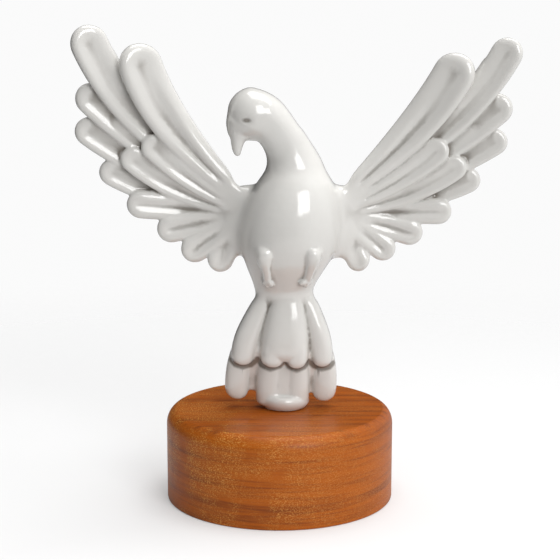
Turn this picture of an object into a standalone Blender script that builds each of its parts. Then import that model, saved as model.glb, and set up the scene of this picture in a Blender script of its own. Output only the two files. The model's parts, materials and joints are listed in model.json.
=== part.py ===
"""White glazed porcelain dove with raised wings, standing on a round turned
wooden base. Two bodies: the dove, cast as one, and the base it rests on."""

import math

import bmesh
import bpy
from mathutils import Matrix, Vector

# Driving sizes, in metres and radians

PLINTH_DIAMETER = 0.100
PLINTH_HEIGHT = 0.040
PLINTH_EDGE_INSET = 0.0043
PLINTH_EDGE_DROP = 0.0064
PLINTH_FOOT_BREAK = 0.0009
PLINTH_SIDES = 88
GLAZE_GAP = 0.0003

DOVE_HEIGHT = 0.168
DOVE_LEAN = math.radians(2.4)
DOVE_ACROSS = 0.0009

WING_ROOT_BACK = 0.0040
WING_SWEEP = 0.0170
WING_RISE = 0.00115
FEATHER_PLUMPNESS = 0.40
FEATHER_GROOVE = 0.34

HEAD_RADIUS = 0.0112
BEAK_LENGTH = 0.0150
PAD_RADIUS = 0.0118
PAD_HEIGHT = 0.0046

REMESH_STEP = 0.00105
DOVE_FACES = 8200

# The figure keeps its proportions as shares of its own height: one share is a
# 168th, and a place is (across from the middle, up from the feet).

SHARE = DOVE_HEIGHT / 168.0
FAN_POINT = (18.0, 87.0)
WING_REACH = 108.0

# Each feather: root, bend and tip, then its width at the root and at its
# fullest, and how far behind the front of the wing it lies.
FEATHERS = {
    "first": ((19.3, 91.5), (73.2, 121.2), (91.0, 164.6), 4.2, 15.5, 2.0),
    "second": ((17.5, 92.6), (57.4, 124.2), (69.2, 158.0), 4.8, 19.6, 0.0),
    "third": ((20.9, 89.3), (61.9, 108.4), (92.0, 138.2), 3.4, 13.4, 3.4),
    "fourth": ((21.7, 88.4), (64.2, 102.3), (92.4, 124.0), 3.4, 11.6, 4.6),
    "fifth": ((22.5, 87.5), (57.4, 90.5), (82.2, 105.9), 3.4, 10.8, 5.0),
    "upper covert": ((20.0, 88.4), (41.0, 94.8), (64.2, 118.2), 3.6, 11.6, 0.0),
    "lower covert": ((20.8, 87.2), (50.3, 91.0), (73.2, 112.0), 3.6, 11.2, 1.7),
    "sixth": ((22.5, 86.4), (46.6, 87.6), (70.9, 89.7), 4.0, 11.4, 3.4),
    "seventh": ((21.6, 85.4), (39.9, 81.4), (57.4, 77.6), 4.2, 11.6, 3.0),
    "eighth": ((19.9, 85.5), (32.5, 77.4), (45.6, 66.6), 4.2, 11.6, 2.4),
    "ninth": ((18.8, 83.2), (25.8, 74.6), (32.4, 60.6), 4.6, 11.4, 1.8),
}

# The right wing was pressed a little differently: how far each tip moves
# outwards and up, how far its bend does, and what its width is multiplied by.
RIGHT_WING = {
    "first": (-0.4, -0.2, -0.2, -0.4, 0.92),
    "second": (1.3, -1.0, 2.6, -3.0, 0.84),
    "third": (-1.5, 0.2, -0.8, 0.0, 1.0),
    "fourth": (-2.4, -0.3, -1.2, 0.0, 1.0),
    "fifth": (-2.2, 0.0, -1.0, 0.0, 1.0),
    "upper covert": (0.6, 0.9, 0.4, 0.4, 1.0),
    "sixth": (-1.6, -0.5, -0.8, -0.4, 1.0),
    "eighth": (-0.6, 1.2, -0.2, 0.4, 1.0),
    "ninth": (-0.4, 0.2, -0.2, 0.0, 1.0),
}

# The thin web behind the feathers: at each angle about the point that the
# feathers fan out from, its reach and how far behind the wing its front lies.
WING_WEB = [
    (-64, 17, 2.6),
    (-36, 23, 3.2),
    (-12, 31, 3.6),
    (4, 41, 3.9),
    (16, 51, 3.9),
    (27, 63, 3.6),
    (36, 69, 2.6),
    (47, 70, 1.0),
]
WEB_THICKNESS = 2.8

# The trunk from the waist to the base of the neck: height, middle, half
# width, and how far it reaches to the front and to the back.
TRUNK = [
    (40.0, -1.0, 9.0, 4.5, 4.5),
    (46.0, -1.1, 12.0, 7.5, 6.5),
    (52.0, -1.2, 12.4, 9.5, 8.0),
    (56.0, -1.1, 14.2, 11.5, 9.5),
    (60.0, -1.0, 16.8, 14.0, 11.5),
    (64.0, -0.8, 19.3, 16.5, 13.5),
    (69.0, -0.5, 20.9, 18.8, 15.5),
    (76.0, -0.2, 21.7, 20.8, 17.0),
    (84.0, 0.2, 21.3, 21.2, 17.5),
    (91.0, 0.8, 20.3, 20.0, 16.5),
    (97.0, 1.3, 18.3, 17.8, 14.5),
    (102.0, 1.4, 15.8, 15.2, 12.6),
    (106.0, 1.2, 13.2, 13.0, 11.4),
    (109.0, 0.6, 10.0, 10.0, 9.0),
]

# The bowed neck up to the crown: across, forward, up, and the radius.
NECK = [
    (2.0, 1.0, 98.0, 15.0),
    (0.6, 0.4, 103.6, 14.4),
    (-0.9, -0.2, 108.6, 11.8),
    (-2.8, -0.8, 114.2, 10.1),
    (-5.6, -1.5, 119.8, 9.3),
    (-10.0, -2.1, 125.4, 10.2),
    (-14.6, -2.6, 128.4, 11.0),
    (-17.4, -2.8, 129.6, 10.6),
]

# The middle of the tail across the figure
TAIL_MIDDLE = -0.9


def share(value):
    return value * SHARE


def clear_scene():
    for item in list(bpy.data.objects):
        bpy.data.objects.remove(item, do_unlink=True)


def new_material(name, colour, roughness, coat):
    material = bpy.data.materials.new(name)
    material.use_nodes = True
    shader = material.node_tree.nodes["Principled BSDF"]
    shader.inputs["Base Color"].default_value = (*colour, 1.0)
    shader.inputs["Roughness"].default_value = roughness
    shader.inputs["Coat Weight"].default_value = coat
    return material


def new_object(name, mesh):
    item = bpy.data.objects.new(name, mesh)
    bpy.context.scene.collection.objects.link(item)
    return item


def loft(bm, rings, closed_ends=True):
    """Skin a row of equal closed rings of points and close both ends."""
    rows = [[bm.verts.new(point) for point in ring] for ring in rings]
    count = len(rows[0])
    for low, high in zip(rows[:-1], rows[1:]):
        for i in range(count):
            j = (i + 1) % count
            bm.faces.new((low[i], low[j], high[j], high[i]))
    if closed_ends:
        for row, ring in ((rows[0], rings[0]), (rows[-1], rings[-1])):
            middle = bm.verts.new(sum(ring, Vector()) / count)
            for i in range(count):
                bm.faces.new((row[i], row[(i + 1) % count], middle))


def smoothstep(low, high, value):
    t = min(max((value - low) / (high - low), 0.0), 1.0)
    return t * t * (3.0 - 2.0 * t)


def wing_depth(across, up):
    """How far behind the middle of the dove the wing lies at a place."""
    reach = math.hypot(across - FAN_POINT[0], up - FAN_POINT[1]) / WING_REACH
    return WING_ROOT_BACK - WING_SWEEP * reach ** 1.4


def feather(bm, side, root, bend, tip, root_width, width, behind, stations=20, points=20):
    """A pillow shaped feather that narrows to its root, is round at its tip
    and carries a soft groove along its front."""
    root = Vector(root)
    bend = Vector(bend)
    tip = Vector(tip)
    path = []
    steps = 60
    for i in range(steps + 1):
        t = i / steps
        path.append(root * (1 - t) ** 2 + bend * 2 * t * (1 - t) + tip * t * t)
    run = [0.0]
    for a, b in zip(path[:-1], path[1:]):
        run.append(run[-1] + (b - a).length)
    length = run[-1]
    tip_start = 1.0 - 0.5 * width / length
    rings = []
    for k in range(stations):
        s = 0.01 + 0.985 * math.sin(0.5 * math.pi * k / (stations - 1))
        at = s * length
        i = 0
        while i < steps - 1 and run[i + 1] < at:
            i += 1
        f = (at - run[i]) / (run[i + 1] - run[i])
        centre = path[i].lerp(path[i + 1], f)
        along = (path[i + 1] - path[i]).normalized()
        across = Vector((along.y, -along.x))
        half = 0.5 * (root_width + (width - root_width) * math.sin(0.5 * math.pi * min(s / tip_start, 1.0)))
        body = half
        if s > tip_start:
            half *= math.sqrt(max(1.0 - ((s - tip_start) / (1.0 - tip_start)) ** 2, 0.0))
        plump = FEATHER_PLUMPNESS * body * (half / body) ** 0.9
        groove = FEATHER_GROOVE * (1.0 - smoothstep(0.55, 0.86, s)) * smoothstep(0.05, 0.3, s)
        back = behind * smoothstep(0.0, 0.45, s)
        ring = []
        for n in range(points):
            angle = 2 * math.pi * n / points
            off = math.cos(angle)
            rise = math.sin(angle)
            place = centre + across * (off * half)
            lift = math.copysign(abs(rise) ** 0.8, rise) * plump
            if rise > 0:
                lift *= 1.0 - groove * math.exp(-((off - 0.12) / 0.24) ** 2)
            x = side * share(place.x)
            z = share(place.y) + side * WING_RISE
            y = wing_depth(place.x, place.y) + share(back - lift)
            ring.append(Vector((x, y, z)))
        rings.append(ring)
    loft(bm, rings)


def wing(bm, side):
    for name, (root, bend, tip, root_width, width, behind) in FEATHERS.items():
        change = RIGHT_WING.get(name) if side > 0 else None
        out, up, bend_out, bend_up, wider = change or (0.0, 0.0, 0.0, 0.0, 1.0)
        moved_tip = (tip[0] + out, tip[1] + up)
        moved_bend = (bend[0] + bend_out, bend[1] + bend_up)
        feather(bm, side, root, moved_bend, moved_tip, root_width, width * wider, behind)
    web(bm, side)


def web(bm, side, spokes=22, rows=12):
    """A thin slab behind the feathers that closes the gaps between them."""
    fronts = []
    backs = []
    for k in range(spokes):
        angle = WING_WEB[0][0] + (WING_WEB[-1][0] - WING_WEB[0][0]) * k / (spokes - 1)
        for low, high in zip(WING_WEB[:-1], WING_WEB[1:]):
            if low[0] <= angle <= high[0]:
                f = (angle - low[0]) / (high[0] - low[0])
                reach = low[1] + (high[1] - low[1]) * f
                behind = low[2] + (high[2] - low[2]) * f
        front = []
        back = []
        for r in range(rows):
            out = 2.0 + (reach - 2.0) * r / (rows - 1)
            x = FAN_POINT[0] + out * math.cos(math.radians(angle))
            z = FAN_POINT[1] + out * math.sin(math.radians(angle))
            depth = wing_depth(x, z)
            at = (side * share(x), share(z) + side * WING_RISE)
            front.append(bm.verts.new((at[0], depth + share(behind), at[1])))
            back.append(bm.verts.new((at[0], depth + share(behind + WEB_THICKNESS), at[1])))
        fronts.append(front)
        backs.append(back)
    for k in range(spokes - 1):
        for r in range(rows - 1):
            bm.faces.new((fronts[k][r], fronts[k][r + 1], fronts[k + 1][r + 1], fronts[k + 1][r]))
            bm.faces.new((backs[k][r], backs[k + 1][r], backs[k + 1][r + 1], backs[k][r + 1]))
        bm.faces.new((fronts[k][0], fronts[k + 1][0], backs[k + 1][0], backs[k][0]))
        bm.faces.new((fronts[k][-1], backs[k][-1], backs[k + 1][-1], fronts[k + 1][-1]))
    for r in range(rows - 1):
        bm.faces.new((fronts[0][r], backs[0][r], backs[0][r + 1], fronts[0][r + 1]))
        bm.faces.new((fronts[-1][r], fronts[-1][r + 1], backs[-1][r + 1], backs[-1][r]))


def ellipsoid(bm, centre, radii, turn=0.0, lean=0.0):
    """A ball stretched along three directions, turned about Y, then X."""
    made = bmesh.ops.create_icosphere(bm, subdivisions=3, radius=1.0)
    shape = Matrix.Diagonal((share(radii[0]), share(radii[1]), share(radii[2]), 1.0))
    turned = Matrix.Rotation(turn, 4, "Y") @ Matrix.Rotation(lean, 4, "X") @ shape
    place = Matrix.Translation([share(value) for value in centre]) @ turned
    bmesh.ops.transform(bm, matrix=place, verts=made["verts"])


def oval_ring(centre, half_width, front, back, points=32):
    ring = []
    for n in range(points):
        angle = 2 * math.pi * n / points
        depth = front if math.sin(angle) < 0 else back
        ring.append(Vector((
            share(centre[0] + half_width * math.cos(angle)),
            share(centre[1] + depth * math.sin(angle)),
            share(centre[2]),
        )))
    return ring


def trunk(bm):
    rings = [oval_ring((middle, 0.0, up), half, front, back) for up, middle, half, front, back in TRUNK]
    loft(bm, rings)


def tube(bm, stations, points=28, flat=1.0):
    """A round tube through (across, forward, up, radius) stations; its rings
    stand square to the path."""
    centres = [Vector(station[:3]) for station in stations]
    rings = []
    for i, station in enumerate(stations):
        before = centres[max(i - 1, 0)]
        after = centres[min(i + 1, len(centres) - 1)]
        along = (after - before).normalized()
        side = along.cross(Vector((0.0, 1.0, 0.0))).normalized()
        front = side.cross(along).normalized()
        ring = []
        for n in range(points):
            angle = 2 * math.pi * n / points
            out = side * math.cos(angle) + front * (flat * math.sin(angle))
            ring.append((centres[i] + out * station[3]) * SHARE)
        rings.append(ring)
    loft(bm, rings)


def head(bm):
    radius = HEAD_RADIUS / SHARE
    ellipsoid(bm, (-17.6, -3.0, 128.8), (radius * 1.02, radius * 0.95, radius * 1.03))
    ellipsoid(bm, (-21.8, -4.2, 125.4), (6.8, 7.0, 7.0), turn=0.35)
    reach = BEAK_LENGTH / SHARE
    beak = [
        (-22.0, -5.0, 125.5, 6.8),
        (-22.9, -5.4, 125.5 - 0.28 * reach, 5.6),
        (-23.5, -5.7, 125.5 - 0.50 * reach, 4.1),
        (-23.7, -5.9, 125.5 - 0.68 * reach, 3.0),
        (-23.6, -6.0, 125.5 - 0.84 * reach, 2.2),
        (-23.3, -6.0, 125.5 - 0.95 * reach, 1.5),
        (-23.1, -6.0, 125.5 - reach, 0.7),
    ]
    tube(bm, beak, points=20, flat=0.85)


def lobe(bm, path, widths, fronts, backs, middle, points=24):
    """A hanging lobe: rings across a path of (across, up) places."""
    rings = []
    for (across, up), half, front, back in zip(path, widths, fronts, backs):
        ring = []
        for n in range(points):
            angle = 2 * math.pi * n / points
            off = math.copysign(abs(math.cos(angle)) ** 0.85, math.cos(angle))
            rise = math.copysign(abs(math.sin(angle)) ** 0.85, math.sin(angle))
            depth = front if rise < 0 else back
            ring.append(Vector((share(middle + across + half * off), share(depth * rise), share(up))))
        rings.append(ring)
    loft(bm, rings)


def tail(bm):
    for side in (-1, 1):
        outer_upper = [(6.0, 55.0), (8.0, 48.0), (10.8, 41.0), (13.6, 34.0), (16.2, 27.0), (17.8, 21.5),
                       (18.2, 18.4), (18.3, 16.6)]
        lobe(bm, [(side * across, up) for across, up in outer_upper],
             [3.6, 4.8, 5.0, 5.4, 5.7, 5.5, 4.2, 2.0], [6.0, 7.0, 7.4, 7.6, 7.6, 7.0, 5.4, 3.4],
             [3.0, 4.2, 4.6, 4.8, 4.8, 4.4, 3.4, 2.4], TAIL_MIDDLE)
        outer_lower = [(12.6, 34.0), (15.6, 27.0), (17.8, 20.0), (19.2, 14.0), (19.6, 9.4), (19.4, 6.0),
                       (18.9, 3.8), (18.6, 2.9)]
        lobe(bm, [(side * across, up) for across, up in outer_lower],
             [4.6, 5.4, 5.9, 6.1, 6.0, 5.4, 3.8, 1.8], [4.5, 5.2, 5.4, 5.4, 5.3, 4.7, 3.4, 2.0],
             [3.5, 4.4, 4.6, 4.6, 4.6, 4.2, 3.2, 2.0], TAIL_MIDDLE)
        middle_upper = [(0.6, 55.0), (1.4, 48.0), (2.6, 41.0), (3.9, 34.0), (5.0, 27.0), (5.5, 21.5),
                        (5.7, 18.2), (5.7, 16.2)]
        lobe(bm, [(side * across, up) for across, up in middle_upper],
             [3.4, 5.0, 6.0, 6.4, 6.4, 5.9, 4.6, 2.2], [7.5, 9.2, 10.0, 10.4, 10.4, 9.6, 7.8, 5.0],
             [3.0, 4.2, 4.6, 4.8, 4.8, 4.4, 3.4, 2.4], TAIL_MIDDLE + 0.8)
        middle_lower = [(4.6, 34.0), (5.2, 26.0), (5.6, 18.0), (5.8, 11.0), (5.8, 5.0), (5.8, 1.0)]
        lobe(bm, [(side * across, up) for across, up in middle_lower],
             [5.4, 5.9, 6.0, 6.0, 6.0, 5.8], [6.4, 7.0, 7.2, 7.2, 7.2, 7.0],
             [4.4, 4.8, 5.0, 5.2, 5.2, 5.0], TAIL_MIDDLE + 0.9)
    dome = [(0.0, 57.0), (0.0, 48.0), (0.0, 41.0), (0.0, 34.0), (0.0, 27.0), (0.0, 22.0), (0.0, 20.0)]
    lobe(bm, dome, [3.0, 6.0, 7.4, 8.0, 7.4, 5.4, 3.0], [8.0, 9.6, 10.4, 10.7, 10.3, 8.6, 6.0],
         [3.0, 4.2, 4.6, 4.8, 4.6, 4.0, 3.0], TAIL_MIDDLE + 0.8)
    backing = [(0.0, 48.0), (0.0, 38.0), (0.0, 28.0), (0.0, 18.0), (0.0, 8.0), (0.0, 4.5)]
    lobe(bm, backing, [9.0, 13.0, 17.5, 20.0, 20.0, 18.0], [1.8, 1.8, 1.8, 1.8, 1.8, 1.4],
         [3.6, 3.8, 3.8, 3.8, 3.6, 3.0], TAIL_MIDDLE, points=40)


def foot_pad(bm):
    radius = PAD_RADIUS / SHARE
    top = PAD_HEIGHT / SHARE
    profile = [(-3.0, 0.98), (0.4, 1.0), (0.5 * top, 1.0), (0.8 * top, 0.95), (0.95 * top, 0.86), (top, 0.7)]
    rings = []
    for up, part in profile:
        rings.append(oval_ring((0.1, 0.4, up), radius * part, radius * part * 0.96, radius * part))
    loft(bm, rings)


def trunk_front(across, up):
    """How far forward the trunk's front lies at a place."""
    for low, high in zip(TRUNK[:-1], TRUNK[1:]):
        if low[0] <= up <= high[0]:
            f = (up - low[0]) / (high[0] - low[0])
            middle, half, front = (low[i] + (high[i] - low[i]) * f for i in (1, 2, 3))
            return front * math.sqrt(max(1.0 - ((across - middle) / half) ** 2, 0.0))
    return 0.0


def leg(bm, top, foot):
    """A teardrop thigh in low relief that runs down to a small foot."""
    widths = [1.4, 2.9, 3.5, 3.2, 2.1, 1.4, 1.2, 1.9, 2.3, 1.6]
    rings = []
    for i, half in enumerate(widths):
        t = i / (len(widths) - 1)
        across = top[0] + (foot[0] - top[0]) * t
        up = top[1] + (foot[1] - top[1]) * t
        front = trunk_front(across, up)
        rings.append(oval_ring((across, -front + 0.2, up), half, 0.75 * half + 0.5, half, points=16))
    loft(bm, rings)


def dove(material):
    bm = bmesh.new()
    wing(bm, -1)
    wing(bm, 1)
    trunk(bm)
    tube(bm, NECK)
    head(bm)
    tail(bm)
    foot_pad(bm)
    leg(bm, (-11.3, 71.5), (-8.4, 54.0))
    leg(bm, (10.6, 71.8), (7.2, 54.0))
    for side in (-1, 1):
        ellipsoid(bm, (side * 20.0, 5.2, 80.5), (9.0, 4.6, 14.0))
        ellipsoid(bm, (side * 17.0 + 1.2, 5.4, 92.0), (10.5, 5.0, 6.9), turn=side * -0.45)
    bmesh.ops.recalc_face_normals(bm, faces=bm.faces)
    mesh = bpy.data.meshes.new("dove")
    bm.to_mesh(mesh)
    bm.free()
    item = new_object("dove_parts", mesh)
    fuse = item.modifiers.new("fuse", "REMESH")
    fuse.mode = "VOXEL"
    fuse.voxel_size = REMESH_STEP
    soften = item.modifiers.new("soften", "SMOOTH")
    soften.factor = 0.5
    soften.iterations = 4
    graph = bpy.context.evaluated_depsgraph_get()
    dense = len(item.evaluated_get(graph).data.polygons) * 2
    thin = item.modifiers.new("thin", "DECIMATE")
    thin.ratio = DOVE_FACES / dense
    thin.use_collapse_triangulate = True
    graph = bpy.context.evaluated_depsgraph_get()
    fused = bpy.data.meshes.new_from_object(item.evaluated_get(graph))
    bpy.data.objects.remove(item, do_unlink=True)

    bm = bmesh.new()
    bm.from_mesh(fused)
    lift = Matrix.Translation((DOVE_ACROSS, 0.0, PLINTH_HEIGHT + GLAZE_GAP))
    bmesh.ops.transform(bm, matrix=lift @ Matrix.Rotation(DOVE_LEAN, 4, "Y"), verts=bm.verts)
    cut = bmesh.ops.bisect_plane(
        bm,
        geom=bm.verts[:] + bm.edges[:] + bm.faces[:],
        plane_co=(0.0, 0.0, PLINTH_HEIGHT + GLAZE_GAP),
        plane_no=(0.0, 0.0, -1.0),
        clear_outer=True,
    )
    rim = [part for part in cut["geom_cut"] if isinstance(part, bmesh.types.BMEdge)]
    bmesh.ops.contextual_create(bm, geom=rim)
    bmesh.ops.triangulate(bm, faces=bm.faces)
    bmesh.ops.recalc_face_normals(bm, faces=bm.faces)
    mesh = bpy.data.meshes.new("dove")
    bm.to_mesh(mesh)
    bm.free()
    item = new_object("dove", mesh)
    item.data.materials.append(material)
    return item


def plinth(material):
    """A turned disc: rounded top edge and a finely broken foot edge."""
    radius = PLINTH_DIAMETER / 2
    profile = [(0.0, 0.0), (radius - PLINTH_FOOT_BREAK, 0.0), (radius, PLINTH_FOOT_BREAK)]
    steps = 6
    for i in range(steps + 1):
        turn = 0.5 * math.pi * (1.0 - 0.12) * i / steps
        full = 0.5 * math.pi * (1.0 - 0.12)
        inset = PLINTH_EDGE_INSET * (1.0 - math.cos(turn)) / (1.0 - math.cos(full))
        rise = PLINTH_EDGE_DROP * math.sin(turn) / math.sin(full)
        profile.append((radius - inset, PLINTH_HEIGHT - PLINTH_EDGE_DROP + rise))
    profile.append((0.0, PLINTH_HEIGHT))
    bm = bmesh.new()
    rings = []
    for out, up in profile[1:-1]:
        ring = []
        for n in range(PLINTH_SIDES):
            angle = 2 * math.pi * n / PLINTH_SIDES
            ring.append(Vector((out * math.cos(angle), out * math.sin(angle), up)))
        rings.append(ring)
    loft(bm, rings)
    bmesh.ops.triangulate(bm, faces=bm.faces)
    bmesh.ops.recalc_face_normals(bm, faces=bm.faces)
    mesh = bpy.data.meshes.new("plinth")
    bm.to_mesh(mesh)
    bm.free()
    item = new_object("plinth", mesh)
    item.data.materials.append(material)
    return item


def build():
    clear_scene()
    plinth(new_material("stained wood", (0.30, 0.075, 0.03), 0.35, 0.3))
    dove(new_material("white glaze", (0.80, 0.80, 0.78), 0.12, 1.0))


build()
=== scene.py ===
"""A white porcelain dove with raised wings on a round turned wooden base.

Laid out as an add-on: sizes and colours are properties, each group of pieces
and the stage has an operator, and the panel lists them in making order.
"""

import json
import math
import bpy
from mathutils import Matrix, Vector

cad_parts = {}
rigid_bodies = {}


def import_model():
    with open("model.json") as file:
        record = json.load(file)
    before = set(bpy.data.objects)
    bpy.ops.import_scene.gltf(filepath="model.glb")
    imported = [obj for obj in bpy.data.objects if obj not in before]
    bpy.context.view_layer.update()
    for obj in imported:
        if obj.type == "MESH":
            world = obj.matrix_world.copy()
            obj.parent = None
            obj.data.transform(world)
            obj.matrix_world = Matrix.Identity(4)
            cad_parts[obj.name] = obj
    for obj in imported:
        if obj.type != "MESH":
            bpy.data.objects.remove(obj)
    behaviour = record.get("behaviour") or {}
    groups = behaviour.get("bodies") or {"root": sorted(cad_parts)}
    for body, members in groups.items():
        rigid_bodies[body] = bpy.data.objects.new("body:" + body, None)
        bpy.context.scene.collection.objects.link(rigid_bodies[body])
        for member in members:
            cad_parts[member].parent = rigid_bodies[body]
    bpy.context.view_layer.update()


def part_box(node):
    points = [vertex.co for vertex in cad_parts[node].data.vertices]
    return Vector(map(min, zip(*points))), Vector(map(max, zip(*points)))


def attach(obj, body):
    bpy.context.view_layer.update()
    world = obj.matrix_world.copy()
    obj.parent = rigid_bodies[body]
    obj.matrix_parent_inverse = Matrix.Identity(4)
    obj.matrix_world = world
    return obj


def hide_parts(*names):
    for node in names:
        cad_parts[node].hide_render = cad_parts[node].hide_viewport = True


bl_info = {
    "name": "Porcelain dove on a turned base",
    "version": (1, 0, 0),
    "blender": (4, 5, 0),
    "location": "View3D > Sidebar > Dove",
    "description": "Models a glazed porcelain dove, its wooden base and a plain studio stage",
    "category": "Object",
}

import bpy
import numpy as np
from bpy.props import FloatProperty, FloatVectorProperty, IntProperty, PointerProperty
from mathutils import Vector

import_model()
DOVE_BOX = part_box("dove")
PLINTH_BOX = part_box("plinth")

# Proportions of the figure. Places and widths are in 168ths of its height:
# across to the right and back from its middle, and up from its feet. Left and
# right are as seen from the front.

FIGURE_SHARES = 168.0

# The point that the wings fan out from, how far they reach from it, and how
# sharply they curve forwards on the way.
FAN_POINT = (18.0, 87.0)
WING_REACH = 108.0
WING_CURVE = 1.4

# Each feather: root, bend, tip, full width, and how far it lies behind the
# front of the wing.
FEATHERS = {
    "first": ((19.3, 90.6), (74.4, 120.4), (91.0, 164.6), 16.4, 2.0),
    "second": ((18.4, 91.2), (60.4, 122.2), (69.2, 158.0), 19.4, 0.0),
    "third": ((20.9, 89.3), (61.9, 108.4), (92.0, 138.8), 13.8, 3.4),
    "fourth": ((21.7, 88.4), (64.8, 101.3), (92.9, 123.6), 12.8, 4.6),
    "fifth": ((22.5, 87.5), (57.8, 89.6), (82.9, 105.3), 12.2, 5.0),
    "upper covert": ((20.0, 88.4), (41.0, 94.8), (64.2, 118.2), 11.6, 0.0),
    "lower covert": ((20.8, 87.2), (50.3, 91.0), (73.2, 112.0), 11.2, 1.7),
    "sixth": ((22.5, 86.4), (46.6, 87.2), (71.6, 89.1), 12.6, 3.4),
    "seventh": ((21.6, 85.4), (39.9, 81.2), (58.1, 76.9), 12.8, 3.0),
    "eighth": ((19.9, 85.5), (32.5, 77.2), (46.2, 65.9), 12.8, 2.4),
    "ninth": ((18.8, 83.2), (25.8, 74.6), (32.6, 60.4), 12.4, 1.8),
}
SHORT_FEATHERS = ("sixth", "seventh", "eighth", "ninth")

# The right wing differs a little: how far each tip moves out and up, how far
# its bend does, and what its width is multiplied by.
RIGHT_WING = {
    "first": (-1.1, -0.2, -1.9, 0.2, 0.84),
    "second": (0.2, -1.0, -3.5, 1.8, 0.94),
    "third": (-2.0, 0.6, -0.8, 0.0, 0.97),
    "fourth": (-2.9, 0.1, -1.8, 1.0, 0.91),
    "fifth": (-2.7, 0.5, -1.4, 0.7, 0.92),
    "upper covert": (0.6, 0.9, 0.4, 0.4, 1.0),
    "sixth": (-2.1, 0.0, -0.8, 0.0, 0.92),
    "seventh": (-0.6, 0.6, 0.0, 0.2, 0.92),
    "eighth": (-1.1, 1.8, -0.2, 0.6, 0.92),
    "ninth": (-0.5, 0.3, -0.2, 0.0, 0.93),
}

# Broad plain feathers behind the others, which close the wing.
BACKING_FEATHERS = {
    "behind second": ((18.5, 90.0), (67.0, 118.0), (86.0, 157.0), 13.0, 3.4),
    "behind third": ((19.0, 90.0), (60.0, 110.0), (80.0, 131.0), 14.0, 4.6),
    "behind fourth": ((20.0, 88.0), (55.0, 99.0), (76.0, 114.5), 14.0, 5.4),
    "behind coverts": ((20.0, 87.0), (48.0, 90.0), (62.0, 97.0), 15.0, 5.4),
    "behind sixth": ((20.0, 86.0), (38.0, 84.0), (52.0, 84.0), 14.0, 4.8),
    "behind seventh": ((20.0, 85.0), (32.0, 80.0), (41.0, 73.5), 13.0, 4.2),
    "behind ninth": ((19.0, 84.0), (25.0, 75.0), (31.0, 67.5), 13.0, 3.8),
}

# Balls that fill the root and the shoulder of each wing: middle, radii and
# tilt. The shoulders stand a little to the right, and the right one higher.
WING_ROOT = ((20.0, 3.8, 80.0), (9.6, 6.2, 14.0), 0.10)
SHOULDER = ((17.0, 4.4, 91.4), (10.8, 6.2, 6.8), -0.45)
SHOULDER_SHIFT = 0.8
SHOULDER_RISE = 0.7

# Trunk: up, middle, half width, reach to the front and to the back.
TRUNK = [
    (40.0, -1.7, 9.0, 4.0, 4.5),
    (46.0, -1.8, 12.0, 6.0, 6.5),
    (52.0, -1.9, 12.5, 8.2, 8.0),
    (56.0, -2.0, 13.7, 10.8, 9.5),
    (60.0, -1.8, 15.7, 13.7, 11.5),
    (64.0, -1.6, 17.8, 16.5, 13.5),
    (69.0, -0.9, 20.5, 18.9, 15.5),
    (76.0, -0.2, 21.7, 20.8, 17.0),
    (84.0, 0.2, 21.3, 21.2, 17.5),
    (91.0, 0.8, 20.3, 20.3, 16.7),
    (97.0, 1.3, 18.3, 18.5, 15.5),
    (102.0, 1.5, 15.9, 16.0, 14.2),
    (106.0, 1.3, 13.0, 13.2, 12.4),
    (109.0, 0.9, 8.4, 8.6, 8.4),
]

# Neck up to the crown: across, back, up, radius.
NECK = [
    (2.2, -0.4, 98.0, 14.4),
    (1.2, -0.2, 103.6, 13.5),
    (-0.4, 0.1, 108.9, 11.8),
    (-2.6, -1.3, 114.6, 9.9),
    (-5.7, -3.7, 120.3, 9.1),
    (-9.8, -5.1, 125.5, 9.6),
    (-14.0, -5.3, 129.0, 10.8),
    (-17.4, -5.1, 130.2, 10.5),
]

# Head: its middle, and its three radii by the head radius.
HEAD_MIDDLE = (-17.9, -5.3, 129.3)
HEAD_ROUNDNESS = (1.02, 0.95, 1.03)

# Face: middle, radii and tilt.
FACE = ((-23.2, -6.5, 125.2), (7.0, 7.0, 7.6), 0.2)

# How the tail's two sides differ: the middle and the width of the outer upper
# lobe, the middle of the outer lower one, how much higher these two hang, and
# how wide the middle lobes are. The backing has a middle of its own.
TAIL_SIDES = {
    -1: (0.9, 1.10, -1.75, 0.0, 1.10),
    1: (-1.65, 1.0, -1.15, 0.7, 1.0),
}
TAIL_BACKING_MIDDLE = -1.2

# Tail lobes: place across, up, half width, reach to the front and to the back.
OUTER_UPPER_LOBE = [
    (6.2, 58.0, 2.6, 4.5, 3.0),
    (9.2, 50.0, 3.9, 5.0, 4.0),
    (11.3, 46.0, 4.3, 5.8, 4.4),
    (13.5, 40.0, 4.8, 7.0, 4.6),
    (15.7, 34.0, 5.2, 7.9, 4.8),
    (17.1, 28.0, 5.2, 8.3, 4.8),
    (17.6, 24.0, 5.0, 8.3, 4.4),
    (17.7, 21.8, 4.7, 8.2, 4.0),
    (17.7, 20.7, 4.1, 7.9, 3.6),
    (17.7, 20.0, 3.4, 7.6, 3.2),
    (17.7, 19.5, 2.5, 7.1, 2.9),
    (17.7, 19.2, 1.5, 6.5, 2.6),
]
OUTER_LOWER_LOBE = [
    (14.4, 34.0, 4.2, 3.4, 3.5),
    (16.8, 27.0, 5.0, 4.2, 4.4),
    (18.4, 20.0, 5.3, 4.6, 4.6),
    (19.0, 14.0, 5.45, 4.8, 4.6),
    (19.1, 8.6, 5.4, 4.8, 4.6),
    (19.0, 6.4, 5.2, 4.7, 4.4),
    (18.9, 5.0, 4.7, 4.5, 4.2),
    (18.8, 4.0, 3.9, 4.1, 3.8),
    (18.7, 3.3, 2.9, 3.7, 3.4),
    (18.7, 2.9, 1.8, 3.2, 3.0),
]
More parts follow.
